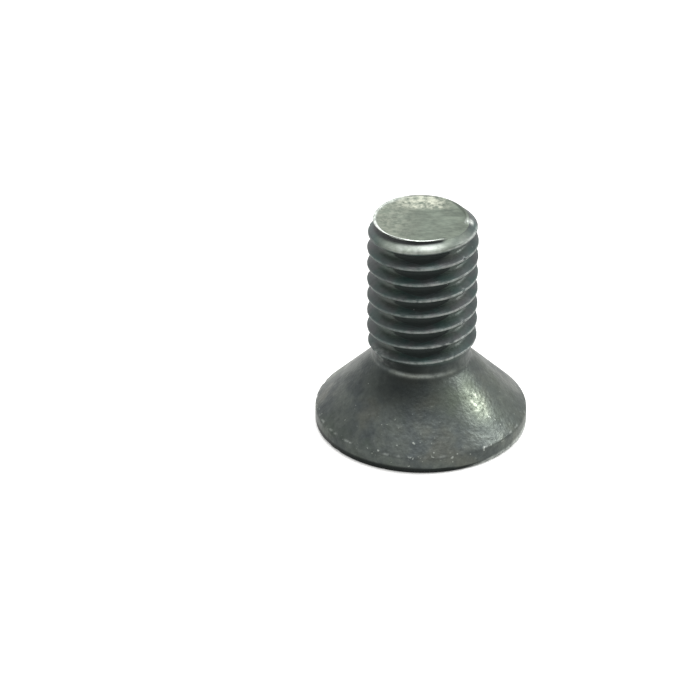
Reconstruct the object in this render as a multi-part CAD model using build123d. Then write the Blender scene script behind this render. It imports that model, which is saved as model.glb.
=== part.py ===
"""Hexagon socket countersunk head screw, M8 x 16, forged and rolled from one piece of steel.

Frame: the origin is the centre of the flat head face and +Z runs up the axis to the tip,
so the screw stands on its head and its hexagon socket opens downwards.
Lengths are millimetres. Angles are degrees, and a direction is counted from +X towards +Y.
"""
import os
from math import cos, radians, sin, tan

from build123d import *

# Whole screw
length = 16.3                 # head face to tip face: nominal 16, tolerance 0.35 each way

# Head
head_diameter = 15.3
land_height = 1.2             # straight rim between the head face and the conical seat
seat_angle = 90.0             # included angle of the cone
face_edge_radius = 0.2        # between the head face and the rim
seat_edge_radius = 0.15       # between the rim and the cone

# Thread
thread_diameter = 7.88        # over the crests
pitch = 1.25
crest_width = 0.2
flank_angle = 60.0            # included angle of the groove
root_round = 0.2              # radius at the bottom of the groove
first_crest_drop = 0.72       # the first crest is this far below the tip face ...
first_crest_direction = -90.0  # ... in this direction
runout_length = 1.5           # the groove grows shallow over this length, above the neck

# Neck, plain between the cone and the thread
neck_step = 0.44              # from the crests in to the neck
neck_fillet = 0.7             # between the cone and the neck
neck_length = 0.55            # straight part above the fillet
shoulder_angle = 40.0         # between the axis and the shoulder that leads up to the crests

# Tip
tip_chamfer = 0.54            # from the crests in to the edge of the flat tip face
tip_chamfer_angle = 45.0      # between the axis and the chamfer

# Hexagon socket
socket_width = 5.02           # across the flats
socket_depth = 3.1            # at the corners of the hexagon
socket_point_angle = 120.0    # included angle of the conical bottom
socket_corner_direction = 0.0

# How far the cutting shapes pass beyond the surfaces that they cut
overcut = 0.12

head_radius = head_diameter / 2
crest_radius = thread_diameter / 2
neck_radius = crest_radius - neck_step
tip_radius = crest_radius - tip_chamfer

# The root is a circle that touches both flanks
half_flank = radians(flank_angle / 2)
groove_half_width = (pitch - crest_width) / 2
root_centre_radius = crest_radius - groove_half_width / tan(half_flank) + root_round / sin(half_flank)
root_radius = root_centre_radius - root_round

# Heights up the axis
cone_top = land_height + (head_radius - neck_radius) / tan(radians(seat_angle / 2))
neck_bottom = cone_top + neck_fillet * tan(radians(seat_angle / 4))
neck_top = neck_bottom + neck_length
shoulder_top = neck_top + neck_step / tan(radians(shoulder_angle))
chamfer_bottom = length - tip_chamfer / tan(radians(tip_chamfer_angle))


def turned(outline):
    """Solid of revolution about the axis, from a closed outline of (radius, height) points."""
    corners = [(radius, 0, height) for radius, height in outline]
    return revolve(make_face(Polyline(corners, close=True)), axis=Axis.Z)


def ring(solid, radius, height):
    """The circular edges of a turned solid at one radius and height."""
    circles = solid.edges().filter_by(GeomType.CIRCLE)
    return circles.filter_by(lambda edge: abs(edge.radius - radius) < 1e-6
                             and abs(edge.arc_center.Z - height) < 1e-6)


def head():
    """Head and neck, with a tapered core that fills the groove at its run-out."""
    core_radius = root_radius - overcut
    core_top = neck_top + runout_length
    solid = turned([
        (0, 0),
        (head_radius, 0),
        (head_radius, land_height),
        (neck_radius, cone_top),
        (neck_radius, neck_top),
        (core_radius, core_top),
        (0, core_top),
    ])
    solid = fillet(ring(solid, head_radius, 0), face_edge_radius)
    solid = fillet(ring(solid, head_radius, land_height), seat_edge_radius)
    return fillet(ring(solid, neck_radius, cone_top), neck_fillet)


def shank():
    """Plain shank at crest diameter, from inside the neck to the tip chamfer."""
    foot_height = neck_top - overcut / tan(radians(shoulder_angle))
    return turned([
        (0, foot_height),
        (neck_radius - overcut, foot_height),
        (crest_radius, shoulder_top),
        (crest_radius, chamfer_bottom),
        (tip_radius, length),
        (0, length),
    ])


def groove():
    """Right-hand helical cutter: straight flanks and a round root, open at the tip."""
    mouth_radius = crest_radius + overcut
    mouth_half_width = groove_half_width + overcut * tan(half_flank)
    tangent_radius = root_centre_radius - root_round * sin(half_flank)
    tangent_half_width = root_round * cos(half_flank)
    upper_mouth = (mouth_radius, 0, mouth_half_width)
    lower_mouth = (mouth_radius, 0, -mouth_half_width)
    upper_tangent = (tangent_radius, 0, tangent_half_width)
    lower_tangent = (tangent_radius, 0, -tangent_half_width)
    section = make_face([
        Line(lower_mouth, upper_mouth),
        Line(upper_mouth, upper_tangent),
        ThreePointArc(upper_tangent, (root_radius, 0, 0), lower_tangent),
        Line(lower_tangent, lower_mouth),
    ])
    foot = neck_top - pitch / 2
    cutter = sweep(section, path=Helix(pitch, length + pitch - foot, root_radius), is_frenet=True)
    # The first crest lies half a pitch below the middle of the groove
    turns_up = (length - first_crest_drop + pitch / 2 - foot) / pitch
    return Pos(0, 0, foot) * Rot(0, 0, first_crest_direction - 360 * turns_up) * cutter


def socket():
    """Hexagonal recess with a conical bottom, open at the head face."""
    corner_radius = socket_width / 2 / cos(radians(30))
    cone_height = corner_radius / tan(radians(socket_point_angle / 2))
    overcut_height = overcut / tan(radians(socket_point_angle / 2))
    hexagon = RegularPolygon(corner_radius, side_count=6, rotation=socket_corner_direction)
    prism = extrude(Pos(0, 0, -overcut) * hexagon, amount=overcut + socket_depth + cone_height)
    point = turned([
        (0, -overcut),
        (corner_radius + overcut, -overcut),
        (corner_radius + overcut, socket_depth - overcut_height),
        (0, socket_depth + cone_height),
    ])
    return prism & point


screw = (shank() - groove()) + head() - socket()

os.makedirs("parts", exist_ok=True)
export_step(screw, "parts/socket_screw.step")
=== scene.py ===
"""Black steel countersunk socket screw, standing on its flat head.

The screw is one closed mesh, in three surfaces that share their border loops: the socket and
head, the thread, and the tip face. Sizes are millimetres in the screw's own frame, with the
origin at the centre of the head face and +Z up the axis, and become metres in the mesh. A turn
is an angle round the axis in radians, and a direction is the same in degrees, counted from +X
towards +Y: -90 is the front.
"""

from math import cos, pi, radians, sin, tan

import bmesh
import bpy
import numpy as np
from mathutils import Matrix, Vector


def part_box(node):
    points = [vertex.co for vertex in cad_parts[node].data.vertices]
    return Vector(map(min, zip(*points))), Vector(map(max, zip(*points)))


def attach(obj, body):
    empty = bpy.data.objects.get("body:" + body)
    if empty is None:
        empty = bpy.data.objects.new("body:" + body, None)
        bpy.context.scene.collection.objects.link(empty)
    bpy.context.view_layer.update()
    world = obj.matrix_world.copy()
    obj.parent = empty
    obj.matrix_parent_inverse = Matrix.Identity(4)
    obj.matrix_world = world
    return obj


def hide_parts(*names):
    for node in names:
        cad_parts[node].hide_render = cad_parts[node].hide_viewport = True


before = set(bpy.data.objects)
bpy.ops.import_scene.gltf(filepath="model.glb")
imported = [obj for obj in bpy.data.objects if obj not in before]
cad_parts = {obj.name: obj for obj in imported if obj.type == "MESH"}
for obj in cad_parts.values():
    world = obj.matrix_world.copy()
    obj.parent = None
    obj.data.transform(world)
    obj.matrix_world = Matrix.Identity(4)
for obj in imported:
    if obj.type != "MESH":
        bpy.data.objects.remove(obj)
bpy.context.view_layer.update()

MM = 0.001                     # metres in a millimetre

# ---------------------------------------------------------------- sizes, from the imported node
low_corner, high_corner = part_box("socket_screw")
LENGTH = high_corner[2] / MM
HEAD_RADIUS = min(high_corner[0], high_corner[1], -low_corner[0], -low_corner[1]) / MM

LAND_HEIGHT = 1.2              # straight rim of the head
FACE_EDGE_RADIUS = 0.2
SEAT_EDGE_RADIUS = 0.3
SEAT_SLOPE = tan(radians(45))  # radius lost for each unit of height on the cone

CREST_RADIUS = 3.94
PITCH = 1.25
CREST_WIDTH = 0.15
HALF_FLANK = radians(29)       # of the flanks near the root
OUTER_FLANK = radians(33)      # of the flanks near the crest: rolling left them bowed
BOW_START = 0.27               # along the axis, from the crest's edge to the bend between the two
BOW_ROUNDING = 0.12            # difference of radius over which the two blend
ROOT_ROUND = 0.2
CREST_ROUNDING = 0.04          # difference of radius over which crest and flank blend
FIRST_CREST_DROP = 0.72        # below the tip face, on the side that faces -Y
RUNOUT_LENGTH = 1.5

NECK_STEP = 0.44
NECK_FILLET = 0.7
NECK_LENGTH = 0.55
SHOULDER_SLOPE = tan(radians(40))
TIP_CHAMFER = 0.54
TIP_LEAD = 0.09                # the last crests draw in by this towards the tip
CORNER_ROUNDING = 0.08         # where shoulder, crests, lead and chamfer meet
CORE_GAP = 0.12                # the run-out's core ends this far inside the root
CORE_ROUNDING = 0.06

TIP_SHIFT_X, TIP_SHIFT_Y = -0.165, 0.12   # of the tip face's rim, off the axis
TIP_OVAL = 0.11                # the rim is this much wider and narrower than round
LIP_HEIGHT = 0.12              # burr that stands round the cropped tip face
LIP_TUCK = 0.025               # the lip's edge is drawn in by this
LIP_ROUNDING = 0.03            # where the lip meets the first groove
CROP_LINE = 1.7                # the face rises from here, towards +Y ...
CROP_BACK = 3.5                # ... and reaches the lip's height here

SOCKET_WIDTH = 5.02
SOCKET_DEPTH = 3.1
SOCKET_POINT_SLOPE = tan(radians(60))
SOCKET_MOUTH = 0.06            # broken edge between the socket's wall and the head face
MOUTH_BEND = 0.02              # the broken edge is this far out at a third of its height

# Wear, as depths
CREST_WEAR = 0.012             # off the crests, twice this at most
CHIP_DEPTH = 0.035             # of the chips in the crests
ROLL_RIPPLE = 0.006            # of the thread's flanks
RING_RISE = 0.05               # of the raised ring at the top of the neck's fillet
SEAT_NICK_DEPTH = 0.07
FACE_NICK_DEPTH = 0.04

# Directions of the marks, in degrees
RAMP_START, RAMP_FULL = -70, -54   # the first ridge runs out over the tip face from these ...
RAMP_WANE, RAMP_END = -14, -2      # ... to these
LIP_SIDE = -140                # the lip overhangs most and its painted highlight is brightest, and painted shade lies low on the cone
SCUFF_SIDE = -144              # dry scuffs above the neck
NECK_SHADE_SIDE = -108              # painted shade lies deepest round the neck
ROOT_SHADE_SIDE = -91                 # painted shade stands highest in the thread's roots, with painted light beside it
RING_HIGHLIGHT_SIDE = -88                # the neck's ring carries a painted highlight
CREST_HIGHLIGHT_SIDE = -50              # the worn crests carry their brightest painted highlight
GLINT_SIDE = -1                # a painted glint on the tip's rim

SCUFF_HEIGHT = 6.5             # of the scuffs' middle, up the axis

# ---------------------------------------------------------------- worked out from those
NECK_RADIUS = CREST_RADIUS - NECK_STEP
TIP_RADIUS = CREST_RADIUS - TIP_CHAMFER
GROOVE_HALF = (PITCH - CREST_WIDTH) / 2
FLANK_LEAD = BOW_START * (1 / tan(OUTER_FLANK) - 1 / tan(HALF_FLANK))
ROOT_CENTRE = CREST_RADIUS - FLANK_LEAD - GROOVE_HALF / tan(HALF_FLANK) + ROOT_ROUND / sin(HALF_FLANK)
ROOT_RADIUS = ROOT_CENTRE - ROOT_ROUND
ROOT_TANGENT = ROOT_ROUND * cos(HALF_FLANK)   # along the axis, from the root's middle to its flank
CONE_TOP = LAND_HEIGHT + (HEAD_RADIUS - NECK_RADIUS) / SEAT_SLOPE
NECK_BOTTOM = CONE_TOP + NECK_FILLET * tan(radians(22.5))
NECK_TOP = NECK_BOTTOM + NECK_LENGTH
RING_HEIGHT = NECK_BOTTOM - 0.1
CHAMFER_BOTTOM = LENGTH - TIP_CHAMFER
THREAD_BOTTOM = NECK_BOTTOM + 0.1   # the thread's surface starts on the plain neck
THREAD_TOP = LENGTH - LIP_HEIGHT    # and ends below the lip

# ---------------------------------------------------------------- the mesh
AROUND = 300                   # columns round the axis: a multiple of 6 for the socket's corners
TURNS = np.arange(AROUND) * 2 * pi / AROUND
AXIS_SHARE = 0.0001            # a loop at this share of its border's radius closes a pole
LIP_SHARES = (0.0, 0.25, 0.45, 0.6, 0.75, 0.88, 0.96, 1.0)   # of the lip's height, by loop
MERGE_DISTANCE = 0.002
SHARP_ANGLE = radians(50)      # edges that bend more than this stay crisp


# ---------------------------------------------------------------- small numeric tools
def soft_min(a, b, width):
    """The lower of two fields, with their crossing rounded over the given difference."""
    overlap = np.maximum(width - np.abs(a - b), 0) / width
    return np.minimum(a, b) - overlap ** 2 * width / 4


def soft_max(a, b, width):
    """The higher of two fields, with their crossing rounded over the given difference."""
    return -soft_min(-a, -b, width)


def ease(low, high, value):
    """Smooth step: 0 below low, 1 above high, with level ends."""
    t = np.clip((value - low) / (high - low), 0, 1)
    return t * t * (3 - 2 * t)


def fade(low, high, value):
    """Smooth step down: 1 below low, 0 above high."""
    return 1 - ease(low, high, value)


def bell(value, middle, width):
    """A smooth bump: 1 at the middle, about a third at one width to either side."""
    return np.exp(-((value - middle) / width) ** 2)


def past(turn, start, full):
    """Smooth step over the turns, from 0 at one direction to 1 at another."""
    return ease(radians(start), radians(full), turn)


def facing(turn, start, full, wane, end):
    """1 between the directions full and wane, easing to 0 at start and at end."""
    return past(turn, start, full) * (1 - past(turn, wane, end))


def towards(turn, direction):
    """1 at the direction, falling as a cosine to 0 on the opposite side."""
    return 0.5 + 0.5 * np.cos(turn - radians(direction))


def wrapped(turn):
    """The same turn, within half a turn either side of +X."""
    return np.mod(turn + pi, 2 * pi) - pi


def polar(points):
    """Each point's distance from the axis, its turn and its height."""
    x, y, z = points.T
    return np.hypot(x, y), np.arctan2(y, x), z


def from_circle(radius, z, circle_radius, circle_height):
    """Distance from a circle round the axis, of that radius and at that height."""
    return np.hypot(radius - circle_radius, z - circle_height)


def lumps(points, cell, seed):
    """Smooth random field of about -1 to 1, from random values on a lattice of that cell size.

    Each point blends its eight lattice neighbours with eased weights, and the lattice repeats
    after 32 cells.
    """
    count = 32
    lattice = np.random.default_rng(seed).uniform(-1, 1, (count, count, count))
    place = points / cell
    base = np.floor(place).astype(int)
    part = place - base
    part = part * part * (3 - 2 * part)
    total = np.zeros(points.shape[:-1])
    for corner in np.ndindex(2, 2, 2):
        index = (base + corner) % count
        weight = np.prod(np.where(corner, part, 1 - part), axis=-1)
        total += weight * lattice[index[..., 0], index[..., 1], index[..., 2]]
    return total


def ring_points(radius, height):
    """Points at (turn, radius, height): radius and height may vary along the columns."""
    radius = np.broadcast_to(radius, np.broadcast_shapes(np.shape(radius), TURNS.shape))
    height = np.broadcast_to(height, radius.shape)
    return np.stack([radius * np.cos(TURNS), radius * np.sin(TURNS), height], axis=-1)


def arc(centre_radius, centre_height, bend_radius, start, end, count):
    """Profile points on an arc, as (radius, height), between two angles in degrees."""
    angles = np.radians(np.linspace(start, end, count))
    return [(centre_radius + bend_radius * cos(a), centre_height + bend_radius * sin(a))
            for a in angles]


# ---------------------------------------------------------------- the thread
def tip_radius(turn):
    """Radius of the tip face's rim: a circle a little off the axis, and a little oval."""
    return (TIP_RADIUS + TIP_SHIFT_X * np.cos(turn) + TIP_SHIFT_Y * np.sin(turn)
            - TIP_OVAL * np.cos(2 * turn))


def envelope(turn, height):
    """Greatest radius of the shank by height: the lowest of three lines, with soft corners.

    They are the shoulder, which rises from the neck at its slope, the plain crests, which draw in
    by the lead over the last pitch or so, and the chamfer, which falls in a straight line from
    the crests to the tip face's rim.
    """
    shoulder = NECK_RADIUS + (height - NECK_TOP) * SHOULDER_SLOPE
    rise = (height - CHAMFER_BOTTOM) / TIP_CHAMFER
    chamfer = CREST_RADIUS - (CREST_RADIUS - tip_radius(turn)) * rise
    crests = CREST_RADIUS - TIP_LEAD * ease(LENGTH - 1.9, LENGTH - 0.4, height)
    return soft_min(soft_min(shoulder, chamfer, CORNER_ROUNDING), crests, CORNER_ROUNDING)


def core(height):
    """Radius of the core that fills the groove at its run-out: the neck, then a falling taper."""
    drop = NECK_RADIUS - (ROOT_RADIUS - CORE_GAP)
    taper = NECK_RADIUS - drop * (height - NECK_TOP) / RUNOUT_LENGTH
    return np.minimum(NECK_RADIUS, np.maximum(taper, ROOT_RADIUS - CORE_GAP))


def ramp(turn):
    """1 where the first ridge runs out over the tip face and it has no lip, 0 elsewhere."""
    swept = np.degrees(wrapped(turn))
    return ease(RAMP_START, RAMP_FULL, swept) * fade(RAMP_WANE, RAMP_END, swept)


def burr(turn, height):
    """Least radius of the shank, which makes the lip: an undercut collar over the first groove.

    The collar is a little inside the face's rim, most so on the lip's side, and it narrows by 1.6
    times the depth below its edge. On the ramp it lies too deep to show.
    """
    edge = LENGTH - 0.045
    collar = tip_radius(turn) - 0.06 - 0.1 * bell(np.degrees(wrapped(turn)), LIP_SIDE, 22)
    return collar - 0.5 * ramp(turn) - 1.6 * np.maximum(edge - height, 0)


def climb(turn):
    """How far the helix has risen since the front: evenly, by one pitch in each full turn."""
    return PITCH * (turn + pi / 2) / (2 * pi)


def first_crest(turn):
    """Height of the first ridge's crest, from its start at the -X side up round to the tip."""
    return LENGTH - FIRST_CREST_DROP + climb(wrapped(turn))


def thread_radius(turn, height):
    """Radius of the threaded shank at a turn and a height.

    The groove's section repeats each pitch along a helix: a round root, then bowed flanks.
    It is cut down by the envelope of the crests and filled up by the run-out's core.
    """
    crest_height = LENGTH - FIRST_CREST_DROP + climb(turn)
    off = (height - crest_height) / PITCH
    from_groove = np.abs(off - np.floor(off) - 0.5) * PITCH
    inner = CREST_RADIUS - FLANK_LEAD - (GROOVE_HALF - from_groove) / tan(HALF_FLANK)
    outer = CREST_RADIUS - (GROOVE_HALF - from_groove) / tan(OUTER_FLANK)
    flank = soft_min(inner, outer, BOW_ROUNDING)
    inside = np.minimum(from_groove, ROOT_TANGENT)
    root = ROOT_CENTRE - np.sqrt(ROOT_ROUND ** 2 - inside ** 2)
    groove = np.where(from_groove < ROOT_TANGENT, root, flank)
    cut = soft_min(envelope(turn, height), groove, CREST_ROUNDING)
    return soft_max(soft_max(cut, core(height), CORE_ROUNDING), burr(turn, height), LIP_ROUNDING)


def thread_rows():
    """Offsets of the mesh rows from the middle of the groove, over one pitch.

    They lie closest where the surface bends: in the root and on either side of the crest's edge.
    """
    half = [0.0, ROOT_TANGENT * 0.5, ROOT_TANGENT, 0.24, 0.3, 0.4]
    half += [GROOVE_HALF + step for step in (-0.045, -0.02, 0, 0.02, 0.045)]
    return np.array([-PITCH / 2] + [-x for x in half[:0:-1]] + half)


def quad_faces(row, column, right_row):
    """Quads between mesh rows: each joins a point to the next column's and the row above.

    A row that runs past the last column goes on at the first column, in right_row.
    """
    right_column = (column + 1) % AROUND
    return np.stack([
        row * AROUND + column,
        right_row * AROUND + right_column,
        (right_row + 1) * AROUND + right_column,
        (row + 1) * AROUND + column,
    ], axis=-1).reshape(-1, 4)


def thread_surface():
    """Vertices and faces of the thread, as (points, quads).

    The rows follow the helix, so the crests stay crisp. Rows are clipped to the neck below and
    the tip above, where they fall together and are merged later. After a full turn, row j
    carries on as row j plus one pitch.
    """
    rows = thread_rows()
    per_pitch = len(rows)
    lowest = int(np.floor((THREAD_BOTTOM - LENGTH) / PITCH)) - 2
    starts = np.arange(lowest, 2) * PITCH
    offsets = (starts[:, None] + rows[None, :]).ravel()
    groove_height = LENGTH - FIRST_CREST_DROP + PITCH / 2 + climb(TURNS)
    height = np.clip(groove_height[None, :] + offsets[:, None], THREAD_BOTTOM, THREAD_TOP)
    points = ring_points(thread_radius(TURNS[None, :], height), height)
    row, column = np.meshgrid(np.arange(len(offsets) - per_pitch - 1), np.arange(AROUND), indexing="ij")
    right_row = np.where(column + 1 == AROUND, row + per_pitch, row)
    return points.reshape(-1, 3), quad_faces(row, column, right_row)


# ---------------------------------------------------------------- stacked loops
def loops_surface(loops):
    """Vertices and quads that join each loop of AROUND points to the next."""
    row, column = np.meshgrid(np.arange(len(loops) - 1), np.arange(AROUND), indexing="ij")
    return np.concatenate(loops), quad_faces(row, column, row)


def hexagon_radius(turn):
    """Distance from the axis to the socket's wall, with one corner at turn 0."""
    return SOCKET_WIDTH / 2 / np.cos(np.mod(turn, pi / 3) - pi / 6)


def socket_loops():
    """From the point of the conical bottom, over its hexagonal border and down the wall.

    Each loop is the hexagon at a share of its size. The bottom's height falls in a straight line
    from the point, as the radius grows, to the full depth at the hexagon's corners.
    """
    wall = hexagon_radius(TURNS)
    corner = SOCKET_WIDTH / 2 / cos(pi / 6)

    def cone_height(radius):
        return SOCKET_DEPTH + (corner - radius) / SOCKET_POINT_SLOPE

    loops = [ring_points(wall * share, cone_height(wall * share))
             for share in (AXIS_SHARE, 0.15, 0.3, 0.45, 0.6, 0.75, 0.88, 0.97, 1.0)]
    border = cone_height(wall)
    loops += [ring_points(wall, border + (SOCKET_MOUTH - border) * share)
              for share in (0.03, 0.15, 0.35, 0.55, 0.75, 0.9, 1.0)]
    return loops + [ring_points(wall + MOUTH_BEND, SOCKET_MOUTH * 0.33)]


def face_loops():
    """The flat head face: even steps from the hexagonal mouth out to the rim's rounded edge."""
    inner = hexagon_radius(TURNS) + SOCKET_MOUTH
    outer = HEAD_RADIUS - FACE_EDGE_RADIUS
    return [ring_points(inner + (outer - inner) * share, 0.0)
            for share in np.linspace(0, 1, 22)[:-1]]


def head_profile():
    """(radius, height) points from the rim of the head face up to the plain neck.

    They run round the face's edge, up the straight rim, round the seat's edge, up the cone in
    even steps and round the neck's fillet.
    """
    seat_drop = SEAT_EDGE_RADIUS * tan(radians(22.5))
    land_top = LAND_HEIGHT - seat_drop
    profile = arc(HEAD_RADIUS - FACE_EDGE_RADIUS, FACE_EDGE_RADIUS, FACE_EDGE_RADIUS, -90, 0, 6)
    profile += [(HEAD_RADIUS, FACE_EDGE_RADIUS + (land_top - FACE_EDGE_RADIUS) * share)
                for share in (0.1, 0.2, 0.3, 0.4, 0.55, 0.7, 0.85)]
    profile += arc(HEAD_RADIUS - SEAT_EDGE_RADIUS, land_top, SEAT_EDGE_RADIUS, 0, 45, 5)
    fillet = arc(NECK_RADIUS + NECK_FILLET, NECK_BOTTOM, NECK_FILLET, 225, 180, 9)
    start, end = np.array(profile[-1]), np.array(fillet[0])
    profile += [tuple(start + (end - start) * share) for share in np.linspace(0, 1, 38)[1:-1]]
    return profile + fillet + [(NECK_RADIUS, NECK_BOTTOM + 0.05), (NECK_RADIUS, THREAD_BOTTOM)]


def tip_loops():
    """The lip round the tip, then the tip face in to the middle.

    The rod was cropped: the face lies sunk behind a narrow burr, and rises again towards the
    back, where the blade went in. On the ramp the lip shrinks to nothing. Each loop of the face
    is the lip's own loop at a share of its radius.
    """
    rise = LIP_HEIGHT * (1 - ramp(TURNS))
    loops = []
    for share in LIP_SHARES:
        height = THREAD_TOP + rise * share
        tuck = LIP_TUCK * ease(0.8, 1.0, share) ** 2
        loops.append(ring_points(thread_radius(TURNS, height) - tuck, height))
    lip = thread_radius(TURNS, THREAD_TOP + rise) - LIP_TUCK
    for share in (0.993, 0.986, 0.976, 0.963, 0.94, 0.91, 0.87, 0.82, 0.74, 0.65, 0.55, 0.45, 0.35,
                  0.25, 0.16, 0.08, AXIS_SHARE):
        radius = lip * share
        behind_lip = rise * ease(0.945, 0.99, share)
        back = np.clip((radius * np.sin(TURNS) - CROP_LINE) / (CROP_BACK - CROP_LINE), 0, 1)
        loops.append(ring_points(radius, THREAD_TOP + np.maximum(behind_lip, rise * back)))
    return loops


# ---------------------------------------------------------------- unevenness
def neck_ring(radius, z, width):
    """The faint ring raised round the top of the neck's fillet, from 0 to 1."""
    return bell(z, RING_HEIGHT, width) * fade(3.8, 4.2, radius)


def worn(points):
    """The points with the small unevenness of a forged, rolled and handled screw.

    Each moves along its radius: inwards by lumps and chips on the crests and by nicks along the
    head's edges, either way by a ripple on the flanks, and outwards on the neck's ring.
    """
    x, y, z = points.T
    radius = np.hypot(x, y)
    out = np.stack([x, y, np.zeros_like(x)], axis=-1) / np.maximum(radius, 1e-6)[:, None]
    in_thread = ease(NECK_TOP, NECK_TOP + 0.4, z) * ease(3.0, 3.3, radius)
    crest = in_thread * ease(CREST_RADIUS - 0.25, CREST_RADIUS - 0.02, radius)
    chips = ease(0.35, 0.8, lumps(points, 0.33, 3))
    move = -crest * (CREST_WEAR * (1 + lumps(points, 0.5, 1)) + CHIP_DEPTH * chips)
    move += in_thread * (1 - crest) * ROLL_RIPPLE * lumps(points, 0.4, 2)
    move += RING_RISE * neck_ring(radius, z, 0.12)
    seat_edge = fade(0.05, 0.3, from_circle(radius, z, HEAD_RADIUS, LAND_HEIGHT))
    move -= SEAT_NICK_DEPTH * ease(0.3, 0.75, lumps(points, 0.42, 5)) * seat_edge
    face_edge = fade(0.1, 0.35, from_circle(radius, z, HEAD_RADIUS, 0))
    move -= FACE_NICK_DEPTH * ease(0.3, 0.8, lumps(points, 0.5, 6)) * face_edge
    return points + out * move[:, None]


# ---------------------------------------------------------------- where the finish and the painted light and shade change
# Each field gives every point a value, mostly from 0 to 1. on_face is 1 on the tip face.
def thread_wear_and_painted_light(points, on_face):
    """How bright the shank is drawn: worn crests and dry scuffs, and painted highlights.

    The crests carry a painted highlight, brightest towards the front right, and so do the first
    ridge round the front and its end. The lip has a painted highlight round its left, with one
    painted glint on the right, and dry scuffs lie on the left of the first turns above the neck.
    """
    radius, turn, z = polar(points)
    crest = ease(CREST_RADIUS - 0.05, CREST_RADIUS - 0.02, radius) * fade(4.0, 4.05, radius)
    crest = crest * ease(NECK_TOP, NECK_TOP + 0.5, z)
    crest = crest * np.clip(np.cos(turn - radians(CREST_HIGHLIGHT_SIDE)), 0.2, 1)
    ridge_end = bell(z, first_crest(turn), 0.07) * ease(3.6, 3.75, radius)
    ridge_end = ridge_end * facing(turn, -72, -56, -20, 5)
    ridge = cut_steel(points, on_face) * (1 - on_face) * facing(turn, -145, -110, -76, -60)
    below_lip = (1 - on_face) * (0.02 + 0.07 * (1 - past(turn, -125, -95)))
    of_rim = radius / tip_radius(turn)
    lip = 1.4 * ease(LENGTH - 0.1, LENGTH - 0.04, z + below_lip) * ease(0.89, 0.94, of_rim)
    lip = lip * (1 - ramp(turn)) * towards(turn, LIP_SIDE) ** 2
    glint = ease(0.93, 0.95, of_rim) * ease(LENGTH - 0.3, LENGTH - 0.2, z)
    glint = glint * bell(turn, radians(GLINT_SIDE), 0.1)
    streaky = lumps(points * np.array([1, 1, 2.2]), 0.3, 8)
    scuff = bell(turn, radians(SCUFF_SIDE), 0.26) * bell(z, SCUFF_HEIGHT, 0.5)
    scuff = scuff * ease(-0.1, 0.5, streaky) * ease(3.4, 3.55, radius)
    return np.max([0.34 * crest, 0.5 * ridge_end, 0.34 * ridge, lip, glint, 0.42 * scuff], axis=0)


def head_wear_and_painted_light(points):
    """How bright the head is drawn: its worn edges and the socket's mouth, and painted light.

    A painted highlight lies on the front of the neck's ring, and a painted reflection on the foot
    of the rim, on the right alone, in a line that grows from 0.2 to 0.6 mm.
    """
    radius, turn, z = polar(points)
    rim = fade(0.03, 0.16, from_circle(radius, z, HEAD_RADIUS - 0.12, 0))
    seat = fade(0.02, 0.14, from_circle(radius, z, HEAD_RADIUS - 0.14, LAND_HEIGHT + 0.06))
    seat = seat * ease(0.0, 0.6, lumps(points, 0.4, 11))
    mouth = fade(0.0, 0.12, np.abs(radius - hexagon_radius(turn))) * fade(0.0, 0.12, z)
    ring = neck_ring(radius, z, 0.14) * (1 - past(np.abs(turn - radians(RING_HIGHLIGHT_SIDE)), 22, 48))
    foot_top = 0.2 + 0.25 * past(turn, -68, -40) + 0.15 * past(turn, -38, -20)
    foot = fade(0.5 * foot_top, foot_top, z) * ease(0, 0.05, z) * facing(turn, -72, -52, -12, 30)
    foot = foot * ease(-0.25, -0.1, radius - HEAD_RADIUS)
    return np.max([0.4 * rim, 0.28 * seat, 0.6 * mouth, 0.13 * ring, 0.5 * foot], axis=0)


def wear_and_painted_light(points, on_face):
    """How bright each point is worn, or painted with highlights, on the shank and on the head."""
    return np.maximum(thread_wear_and_painted_light(points, on_face), head_wear_and_painted_light(points))


def cut_steel(points, on_face):
    """Where the tip is bare metal: the cropped face, its lip and the top of the first ridge.

    The ridge is bare round the front, less so to its right, and the face's back edge is duller.
    """
    radius, turn, z = polar(points)
    ridge = ease(first_crest(turn) - 0.1, first_crest(turn), z) * facing(turn, -165, -115, -40, -12)
    ridge = ridge * (1 - 0.55 * past(turn, -72, -52))
    lip = ease(LENGTH - 0.08, LENGTH - 0.04, z)
    back_edge = ease(0.93, 0.955, radius / tip_radius(turn)) * ease(0.8, 2.2, points[:, 1])
    cut = np.max([ridge * (1 - first_groove(points, on_face)), lip, on_face], axis=0)
    return cut * (1 - 0.6 * back_edge)


def torn_steel(points, on_face):
    """Where the cropped face is paler: torn behind the crop line, and paler towards the left."""
    x, y, _ = points.T
    middle = np.exp(-((x + 0.15) / 1.8) ** 4)
    back = middle * ease(CROP_LINE - 0.1, CROP_LINE + 0.15, y + 0.15 * lumps(points, 0.5, 9))
    return on_face * np.maximum(back, 0.3 * fade(-2.6, 0.6, x))


def first_groove(points, on_face):
    """Painted shade in the root of the groove under the lip's overhang, up to where it opens on the
    face.

    It is full in the root itself and eases off up the flanks.
    """
    radius, turn, z = polar(points)
    root = 1 - 0.3 * ease(ROOT_RADIUS + 0.12, ROOT_RADIUS + 0.2, radius)
    root = root * fade(ROOT_RADIUS + 0.24, ROOT_RADIUS + 0.34, radius)
    root = root * ease(LENGTH - 1.5, LENGTH - 1.3, z) * fade(LENGTH - 0.08, LENGTH - 0.04, z)
    return root * (1 - facing(turn, -68, -58, 60, 90)) * (1 - on_face)


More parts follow.
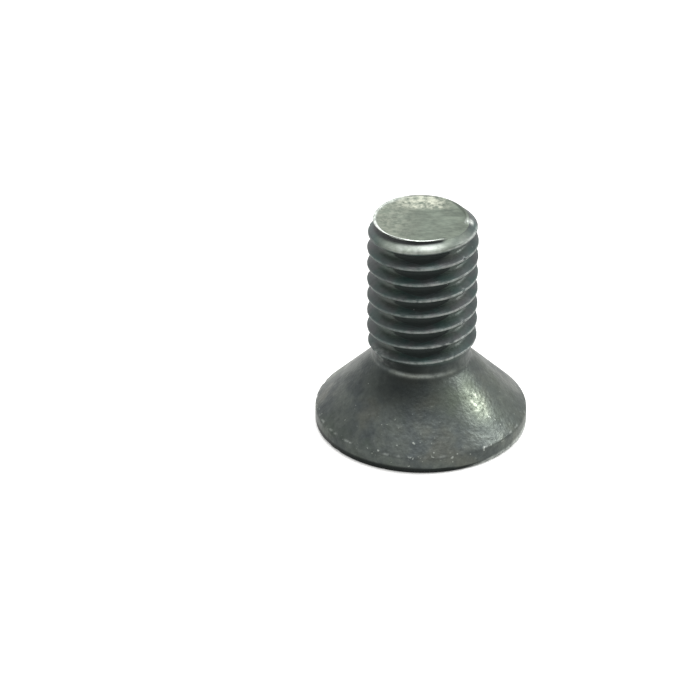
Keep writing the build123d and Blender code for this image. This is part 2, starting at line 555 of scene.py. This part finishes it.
def painted_shade_and_film(points, on_face):
    """How dark each point is drawn: a light film over the rolled thread, and painted shade.

    The painted shade fills the root of the first groove under the lip and the groove above the
    neck, lies round the neck and down the cone at its left, fainter at its right, and stands in a
    band low on the rim, which is lower at the right and almost gone where the rim's foot carries
    a painted reflection.
    """
    radius, turn, z = polar(points)
    degrees = np.degrees(turn)
    side = towards(turn, NECK_SHADE_SIDE) ** 5
    neck = 0.9 * fade(NECK_RADIUS + 0.7, NECK_RADIUS + 2.8, radius) * side
    right = 0.32 * bell(degrees, -54, 20) * fade(NECK_RADIUS + 0.7, NECK_RADIUS + 1.9, radius)
    neck = np.maximum(neck, right) * ease(2.0, 3.4, z) * fade(NECK_TOP, NECK_TOP + 0.6, z)
    neck = neck * (1 - bell(z, RING_HEIGHT, 0.15))
    groove = ease(NECK_BOTTOM + 0.02, NECK_BOTTOM + 0.12, z) * fade(NECK_TOP + 0.1, NECK_TOP + 0.4, z)
    groove = groove * fade(CREST_RADIUS - 0.2, CREST_RADIUS - 0.1, radius) * side
    band = 0.5 - 0.2 * facing(turn, -98, -42, 120, 170)
    rim = fade(band - 0.06, band, z) * ease(0.02, 0.07, z)
    rim = rim * ease(HEAD_RADIUS - 0.4, HEAD_RADIUS - 0.25, radius)
    rim = rim * (1 - 0.85 * facing(turn, -66, -48, 0, 50))
    low = 0.2 * bell(degrees, LIP_SIDE, 25) * fade(2.2, 3.6, z)
    thread = 0.25 * rolled_thread(points, on_face)
    return np.max([thread, first_groove(points, on_face), neck, groove, rim, low], axis=0)


def painted_root_shade(points, on_face):
    """How far each point lies inside the painted shade in the thread's roots, in mm, 0 at its edge.

    The shade's edge is a radius that depends on the direction: it stands highest at the front and
    thins out to either side.
    """
    radius, turn, z = polar(points)
    aside = np.abs(np.degrees(turn) - ROOT_SHADE_SIDE)
    edge = ROOT_RADIUS + np.interp(aside, [0, 24, 34, 42, 50, 62, 85],
                                   [0.42, 0.12, 0.04, -0.06, -0.4, -0.4, 0.06])
    ends = fade(NECK_TOP, NECK_TOP + 0.6, z) + ease(LENGTH - 1.0, LENGTH - 0.8, z)
    return edge - radius - ends - on_face


def rolled_thread(points, on_face):
    """Where the surface is smooth from the thread rolls."""
    z = points[:, 2]
    return ease(NECK_TOP, NECK_TOP + 0.5, z) * fade(LENGTH - 0.3, LENGTH - 0.1, z) * (1 - on_face)


def highlights_and_thinning(points, on_face):
    """Painted highlights on the cone and beside the thread's roots, and a thinner coat.

    The main painted highlight is a long soft spot down the cone at the front right, with a weaker
    round one to its left and a faint painted haze of light at the right. Painted light lies beside
    the thread's roots to either side of the front, and blotches of thinner coat lie at the back.
    """
    radius, turn, z = polar(points)
    centre, down_cone = np.array([3.92, -3.6, 3.57]), np.array([0.52, -0.46, -0.71])
    offset = points - centre
    down = offset @ down_cone
    across = np.sqrt(np.maximum(np.sum(offset ** 2, axis=-1) - down ** 2, 0))
    patch = 0.62 * bell(down, 0, 1.75) * bell(across, 0, 1.15)
    front_centre = np.array([1.9, -4.2, 4.2])
    front = 0.28 * bell(np.linalg.norm(points - front_centre, axis=-1), 0, 1.3)
    haze = 0.17 * bell(np.degrees(turn), -14, 24) * fade(3.6, 4.8, z)
    aside = np.abs(np.degrees(turn) - ROOT_SHADE_SIDE)
    root = rolled_thread(points, on_face) * fade(ROOT_RADIUS + 0.15, CREST_RADIUS - 0.15, radius)
    root = 0.3 * root * ease(16, 34, aside) * fade(50, 80, aside)
    behind = 0.5 * ease(0.4, 0.9, lumps(points, 2.1, 14)) * ease(0.8, 2.4, points[:, 1])
    behind = behind * ease(1.2, 1.8, z) * fade(4.4, 5.0, z)
    return np.max([patch, front, haze, root, behind], axis=0)


def nicked(points, on_face):
    """How thick the small nicks lie: along the seat's edge, thinly on the cone, not in the painted shade
    or the thread's film.
    """
    radius, _, z = polar(points)
    seat = fade(0.1, 0.55, from_circle(radius, z, HEAD_RADIUS - 0.12, LAND_HEIGHT + 0.02))
    cone = 0.35 * fade(3.0, 4.5, z) * (1 + lumps(points, 2.4, 7))
    return np.maximum(seat, cone) * fade(0.1, 0.4, painted_shade_and_film(points, on_face))


FINISH_AND_LIGHT_FIELDS = {"worn_or_lit": wear_and_painted_light, "cut": cut_steel, "torn": torn_steel, "shade_and_film": painted_shade_and_film,
                 "rolled": rolled_thread, "nicked": nicked, "highlights_and_thinning": highlights_and_thinning, "root_shade": painted_root_shade}


def build_screw():
    """One closed mesh of the whole screw, which stands for the CAD node."""
    head_points, head_quads = loops_surface(
        socket_loops() + face_loops() + [ring_points(r, z) for r, z in head_profile()])
    thread_points, thread_quads = thread_surface()
    tip_points, tip_quads = loops_surface(tip_loops())
    thread_start = len(head_points)
    tip_start = thread_start + len(thread_points)
    points = worn(np.concatenate([head_points, thread_points, tip_points]))
    quads = np.concatenate([head_quads, thread_quads + thread_start, tip_quads + tip_start])
    on_face = np.zeros(len(points))
    on_face[tip_start + len(LIP_SHARES) * AROUND:] = 1
    mesh = bpy.data.meshes.new("socket_screw_finished")
    mesh.from_pydata(points * MM, [], quads.tolist())
    for name, field in FINISH_AND_LIGHT_FIELDS.items():
        values = mesh.attributes.new(name, "FLOAT", "POINT").data
        values.foreach_set("value", field(points, on_face))
    merged = bmesh.new()
    merged.from_mesh(mesh)
    bmesh.ops.remove_doubles(merged, verts=merged.verts, dist=MERGE_DISTANCE * MM)
    bmesh.ops.recalc_face_normals(merged, faces=merged.faces)
    merged.to_mesh(mesh)
    merged.free()
    mesh.polygons.foreach_set("use_smooth", np.ones(len(mesh.polygons), dtype=bool))
    mesh.set_sharp_from_angle(angle=SHARP_ANGLE)
    screw = bpy.data.objects.new("socket_screw_finished", mesh)
    bpy.context.scene.collection.objects.link(screw)
    return screw


# ---------------------------------------------------------------- materials
def linear(hex_code):
    """An sRGB hex colour as linear RGBA."""
    parts = [int(hex_code[i:i + 2], 16) / 255 for i in (1, 3, 5)]
    return tuple(c / 12.92 if c <= 0.04045 else ((c + 0.055) / 1.055) ** 2.4 for c in parts) + (1.0,)


def per_mm(size):
    """The scale of a pattern on Object coordinates whose features are about that many mm."""
    return 1 / (size * MM)


def add_node(material, kind, settings=None, links=None):
    """A node of that kind, with its settings and its input links.

    A settings key is a property's name, or an input's name or number for its default value.
    A links entry takes an input's name or number to an output socket. On a Mix node of numbers,
    input 0 is the share, 2 and 3 are what it mixes and output 0 is the result; on one of colours
    they are inputs 0, 6 and 7 and output 2.
    """
    tree = material.node_tree
    node = tree.nodes.new(kind)
    for key, value in (settings or {}).items():
        if isinstance(key, str) and hasattr(node, key):
            setattr(node, key, value)
        else:
            node.inputs[key].default_value = value
    for key, socket in (links or {}).items():
        tree.links.new(socket, node.inputs[key])
    return node


def black_oxide_steel():
    """Alloy steel, forged and rolled, then blackened in hot salts and left with a film of oil.

    The coat is a thin dark grey skin over the forged steel's uneven grain, so a lamp breaks up on
    it into patches, with painted specks of highlight on the cone. It stains brown and moss green
    where salts dried, is darkest where shade is painted round the neck, low on the rim and in the
    thread's roots, and is worn or cut through to pale metal on the edges and the tip, with painted
    highlights on the lip, the crests and the first ridge.
    """
    material = bpy.data.materials.new("black_oxide_steel")
    material.use_nodes = True
    material.node_tree.nodes.clear()
    place = add_node(material, "ShaderNodeTexCoord").outputs["Object"]
    # Fields: wear and painted light, cut, torn, painted shade and film, rolled, nicks, painted light and
    # thinning, root shade.
    worn_or_lit, cut, torn, shade_and_film, rolled, nicks, lit_or_thinned, root_shade = (
        add_node(material, "ShaderNodeAttribute", {"attribute_name": name}).outputs["Fac"]
        for name in FINISH_AND_LIGHT_FIELDS)

    # The forged skin: lumps about as wide as a grain of salt, broken up down to fine grain.
    skin = add_node(material, "ShaderNodeTexNoise", {
        "Scale": per_mm(0.42), "Detail": 5.0, "Roughness": 0.68}, {"Vector": place}).outputs[0]
    # Its fine grain, a few hundredths in the steel and drawn coarse enough to glint.
    grain = add_node(material, "ShaderNodeTexNoise", {
        "Scale": per_mm(0.24), "Detail": 1.0, "Roughness": 0.4}, {"Vector": place}).outputs[0]
    # Clouds a millimetre or so wide, where the coat took more or less.
    cloud = add_node(material, "ShaderNodeTexNoise", {
        "Scale": per_mm(1.3), "Detail": 3.0}, {"Vector": place}).outputs[0]
    # Stains of dried salts, some millimetres across.
    stain = add_node(material, "ShaderNodeTexNoise", {
        "Scale": per_mm(2.6), "Detail": 2.0}, {"Vector": place}).outputs[0]
    # Streaks the cropping blade left across the tip, a few hundredths apart in the steel and
    # drawn coarse enough to show.
    across = add_node(material, "ShaderNodeMapping", {"Scale": (0.4, 1.0, 1.0)},
                      {"Vector": place}).outputs[0]
    streak = add_node(material, "ShaderNodeTexNoise", {
        "Scale": per_mm(0.24), "Detail": 5.0, "Roughness": 0.65}, {"Vector": across}).outputs[0]

    # Dark neutral grey on the forged head, a little greener and paler in the clouds.
    clouded = add_node(material, "ShaderNodeMapRange", {
        "From Min": 0.36, "From Max": 0.64}, {"Value": cloud}).outputs[0]
    coat = add_node(material, "ShaderNodeMix", {
        "data_type": "RGBA", 6: linear("#4a4f4f"), 7: linear("#5a5f5b")}, {0: clouded}).outputs[2]
    # A brown tinge at the stains' highs ...
    stained = add_node(material, "ShaderNodeMapRange", {
        "From Min": 0.58, "From Max": 0.7, "To Max": 0.15}, {"Value": stain}).outputs[0]
    coat = add_node(material, "ShaderNodeMix", {
        "data_type": "RGBA", 7: linear("#5f5749")}, {0: stained, 6: coat}).outputs[2]
    # ... and a moss green one at their lows.
    mossed = add_node(material, "ShaderNodeMapRange", {
        "From Min": 0.46, "From Max": 0.34, "To Max": 0.4}, {"Value": stain}).outputs[0]
    coat = add_node(material, "ShaderNodeMix", {
        "data_type": "RGBA", 7: linear("#525a4c")}, {0: mossed, 6: coat}).outputs[2]
    # The rolls left the thread's coat colder, teal with neutral clouds.
    thread = add_node(material, "ShaderNodeMix", {
        "data_type": "RGBA", 6: linear("#334c48"), 7: linear("#4b4f50")}, {0: clouded}).outputs[2]
    coat = add_node(material, "ShaderNodeMix", {"data_type": "RGBA"},
                    {0: rolled, 6: coat, 7: thread}).outputs[2]
    # Painted highlights, and a coat worn thinner here and there, draw it towards a paler olive.
    coat = add_node(material, "ShaderNodeMix", {
        "data_type": "RGBA", 7: linear("#778070")}, {0: lit_or_thinned, 6: coat}).outputs[2]

    # In the core of the painted highlight, bright specks stand on the skin's highs ...
    highlight_core = add_node(material, "ShaderNodeMapRange", {
        "From Min": 0.31, "From Max": 0.62}, {"Value": lit_or_thinned}).outputs[0]
    high_skin = add_node(material, "ShaderNodeMapRange", {
        "From Min": 0.5, "From Max": 0.6, "To Max": 0.75}, {"Value": skin}).outputs[0]
    highlight_speck = add_node(material, "ShaderNodeMath", {"operation": "MULTIPLY"},
                     {0: high_skin, 1: highlight_core}).outputs[0]
    coat = add_node(material, "ShaderNodeMix", {
        "data_type": "RGBA", 7: linear("#a3a99b")}, {0: highlight_speck, 6: coat}).outputs[2]
    # ... and painted dark pits lie between them.
    low_skin = add_node(material, "ShaderNodeMapRange", {
        "From Min": 0.46, "From Max": 0.36}, {"Value": skin}).outputs[0]
    highlight_pit = add_node(material, "ShaderNodeMath", {"operation": "MULTIPLY"},
                   {0: low_skin, 1: highlight_core}).outputs[0]
    coat = add_node(material, "ShaderNodeMix", {
        "data_type": "RGBA", 7: linear("#2c312d")}, {0: highlight_pit, 6: coat}).outputs[2]

    # The skin's grain dapples the coat, and painted shade, with the thread's darker film, covers it with
    # a colder near-black.
    grained = add_node(material, "ShaderNodeMapRange", {
        "From Min": 0.3, "From Max": 0.7, "To Min": 0.8, "To Max": 1.22}, {"Value": skin}).outputs[0]
    coat = add_node(material, "ShaderNodeMix", {
        "data_type": "RGBA", "blend_type": "MULTIPLY", 0: 1.0}, {6: coat, 7: grained}).outputs[2]
    darkened = add_node(material, "ShaderNodeMath", {"operation": "MULTIPLY", 1: 0.95},
                      {0: shade_and_film}).outputs[0]
    coat = add_node(material, "ShaderNodeMix", {
        "data_type": "RGBA", 7: linear("#161b1a")}, {0: darkened, 6: coat}).outputs[2]
    # Painted shade fills the thread's roots, black and even, with a crisp edge.
    in_root_shade = add_node(material, "ShaderNodeMapRange", {
        "From Min": -0.025, "From Max": 0.025, "To Max": 0.9}, {"Value": root_shade}).outputs[0]
    coat = add_node(material, "ShaderNodeMix", {
        "data_type": "RGBA", 7: linear("#2a312f")}, {0: in_root_shade, 6: coat}).outputs[2]

    # Small pale nicks, thick along the seat's edge.
    high_grain = add_node(material, "ShaderNodeMath", {"operation": "MULTIPLY_ADD", 1: 0.13},
                          {0: nicks, 2: grain}).outputs[0]
    flecked = add_node(material, "ShaderNodeMapRange", {
        "From Min": 0.79, "From Max": 0.86, "To Max": 0.5}, {"Value": high_grain}).outputs[0]
    coat = add_node(material, "ShaderNodeMix", {
        "data_type": "RGBA", 7: linear("#b4b9b2")}, {0: flecked, 6: coat}).outputs[2]

    # Bare cut metal, a greenish grey with the blade's streaks, uneven in the clouds.
    streaked = add_node(material, "ShaderNodeMapRange", {
        "From Min": 0.35, "From Max": 0.65}, {"Value": streak}).outputs[0]
    metal = add_node(material, "ShaderNodeMix", {
        "data_type": "RGBA", 6: linear("#646d63"), 7: linear("#7b8478")}, {0: streaked}).outputs[2]
    blotched = add_node(material, "ShaderNodeMapRange", {
        "From Min": 0.35, "From Max": 0.65, "To Min": 0.84, "To Max": 1.16}, {"Value": cloud}).outputs[0]
    metal = add_node(material, "ShaderNodeMix", {
        "data_type": "RGBA", "blend_type": "MULTIPLY", 0: 1.0}, {6: metal, 7: blotched}).outputs[2]
    # The torn part is yellowish and pale, and ragged like the skin.
    ragged = add_node(material, "ShaderNodeMapRange", {
        "From Min": 0.38, "From Max": 0.6}, {"Value": skin}).outputs[0]
    broken = add_node(material, "ShaderNodeMath", {"operation": "MULTIPLY"},
                      {0: torn, 1: ragged}).outputs[0]
    metal = add_node(material, "ShaderNodeMix", {
        "data_type": "RGBA", 7: linear("#c3c6b6")}, {0: broken, 6: metal}).outputs[2]
    colour = add_node(material, "ShaderNodeMix", {"data_type": "RGBA"},
                      {0: cut, 6: coat, 7: metal}).outputs[2]

    # Worn edges and painted highlights, patchy: the coat holds on in the skin's hollows.
    worn_off = add_node(material, "ShaderNodeMapRange", {
        "From Min": 0.36, "From Max": 0.58, "To Min": 0.35}, {"Value": skin}).outputs[0]
    bared = add_node(material, "ShaderNodeMath", {"operation": "MULTIPLY"},
                     {0: worn_or_lit, 1: worn_off}).outputs[0]
    colour = add_node(material, "ShaderNodeMix", {
        "data_type": "RGBA", 7: linear("#e8eee8")}, {0: bared, 6: colour}).outputs[2]

    # Satin on the forged skin, with glossier clouds, and smoother where the thread was rolled.
    satin = add_node(material, "ShaderNodeMapRange", {
        "From Min": 0.36, "From Max": 0.64, "To Min": 0.46, "To Max": 0.36}, {"Value": cloud}).outputs[0]
    rough = add_node(material, "ShaderNodeMix", {3: 0.36}, {0: rolled, 2: satin}).outputs[0]
    # The painted shade in the roots is drawn dull, and the cropped metal is as rough as the blade left
    # it.
    rough = add_node(material, "ShaderNodeMix", {3: 0.9}, {0: in_root_shade, 2: rough}).outputs[0]
    rough = add_node(material, "ShaderNodeMix", {3: 0.46}, {0: cut, 2: rough}).outputs[0]
    # On the thread's thicker coat, and under the painted shade, the steel is less of a mirror.
    dimmed_by_shade = add_node(material, "ShaderNodeMath", {"operation": "MULTIPLY", 1: 0.2},
                      {0: shade_and_film}).outputs[0]
    covered = add_node(material, "ShaderNodeMath", {"operation": "MAXIMUM"},
                       {0: rolled, 1: dimmed_by_shade}).outputs[0]
    mirror = add_node(material, "ShaderNodeMapRange", {"To Min": 1.0, "To Max": 0.2},
                      {"Value": covered}).outputs[0]
    # The grain is felt on the forged skin and hardly at all where the steel was rolled or cut.
    smooth = add_node(material, "ShaderNodeMath", {"operation": "MAXIMUM"},
                      {0: rolled, 1: cut}).outputs[0]
    relief = add_node(material, "ShaderNodeMapRange", {
        "To Min": 0.65, "To Max": 0.04}, {"Value": smooth}).outputs[0]
    bump = add_node(material, "ShaderNodeBump", {"Distance": 0.035 * MM},
                    {"Height": grain, "Strength": relief}).outputs[0]
    shader = add_node(material, "ShaderNodeBsdfPrincipled", None, {
        "Base Color": colour, "Metallic": mirror, "Roughness": rough, "Normal": bump}).outputs[0]
    add_node(material, "ShaderNodeOutputMaterial", links={"Surface": shader})
    return material


def white_table():
    """Smooth white board: plain diffuse, and lifted to paper white for the camera alone."""
    material = bpy.data.materials.new("white_table")
    material.use_nodes = True
    material.node_tree.nodes.clear()
    board = add_node(material, "ShaderNodeBsdfDiffuse", {"Color": linear("#e6e6e4")})
    lift = add_node(material, "ShaderNodeEmission", {"Color": (1, 1, 1, 1), "Strength": 0.35})
    both = add_node(material, "ShaderNodeAddShader",
                    links={0: board.outputs[0], 1: lift.outputs[0]})
    path = add_node(material, "ShaderNodeLightPath")
    seen = add_node(material, "ShaderNodeMixShader", links={
        "Fac": path.outputs["Is Camera Ray"], 1: board.outputs[0], 2: both.outputs[0]})
    add_node(material, "ShaderNodeOutputMaterial", links={"Surface": seen.outputs[0]})
    return material


# ---------------------------------------------------------------- studio
def build_floor():
    """A square white table top, far wider than the view."""
    half = 1.5   # metres
    mesh = bpy.data.meshes.new("table")
    mesh.from_pydata([(-half, -half, 0), (half, -half, 0), (half, half, 0), (-half, half, 0)],
                     [], [(0, 1, 2, 3)])
    table = bpy.data.objects.new("table", mesh)
    bpy.context.scene.collection.objects.link(table)
    mesh.materials.append(white_table())


def add_softbox(name, place, size, watts):
    """A square area lamp at a place in millimetres, turned to the screw's middle."""
    lamp = bpy.data.lights.new(name, "AREA")
    lamp.size = size * MM
    lamp.energy = watts
    holder = bpy.data.objects.new(name, lamp)
    holder.location = Vector(place) * MM
    aim = Vector((0, 0, LENGTH / 2)) * MM - holder.location
    holder.rotation_euler = aim.to_track_quat("-Z", "Y").to_euler()
    bpy.context.scene.collection.objects.link(holder)


def build_world():
    """White surroundings for the camera and for reflections, and a soft fill light."""
    world = bpy.data.worlds.new("studio")
    bpy.context.scene.world = world
    world.use_nodes = True
    world.node_tree.nodes.clear()
    path = add_node(world, "ShaderNodeLightPath")
    shown = add_node(world, "ShaderNodeMath", {"operation": "MAXIMUM"}, {
        0: path.outputs["Is Camera Ray"], 1: path.outputs["Is Glossy Ray"]})
    white = add_node(world, "ShaderNodeBackground", {"Color": (1, 1, 1, 1), "Strength": 1.0})
    fill = add_node(world, "ShaderNodeBackground", {"Color": (1, 1, 1, 1), "Strength": 0.4})
    mixed = add_node(world, "ShaderNodeMixShader", links={
        "Fac": shown.outputs[0], 1: fill.outputs[0], 2: white.outputs[0]})
    add_node(world, "ShaderNodeOutputWorld", links={"Surface": mixed.outputs[0]})


def build_camera():
    """Long lens from the front and above, aimed left of and below the screw's middle."""
    down, left, roll = 30.3764, 1.6056, -0.065   # degrees
    lens = bpy.data.cameras.new("camera")
    lens.sensor_width = 36
    lens.lens = 152.173
    lens.clip_start = 0.005
    camera = bpy.data.objects.new("camera", lens)
    camera.location = Vector((0, -183.206, 112.997)) * MM
    camera.rotation_euler = (radians(90 - down), 0, radians(left))
    camera.rotation_euler.rotate_axis("Z", radians(roll))
    bpy.context.scene.collection.objects.link(camera)
    bpy.context.scene.camera = camera


screw = build_screw()
screw.data.materials.append(black_oxide_steel())
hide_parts("socket_screw")
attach(screw, "root")

build_floor()
build_world()
add_softbox("key", (258, 40, 223), 70, 0.36)   # high on the right: the bright patch on the cone
add_softbox("top", (5, 25, 270), 120, 0.8)     # overhead: the tip face and the thread's upper flanks
build_camera()
bpy.context.scene.view_settings.view_transform = "Standard"
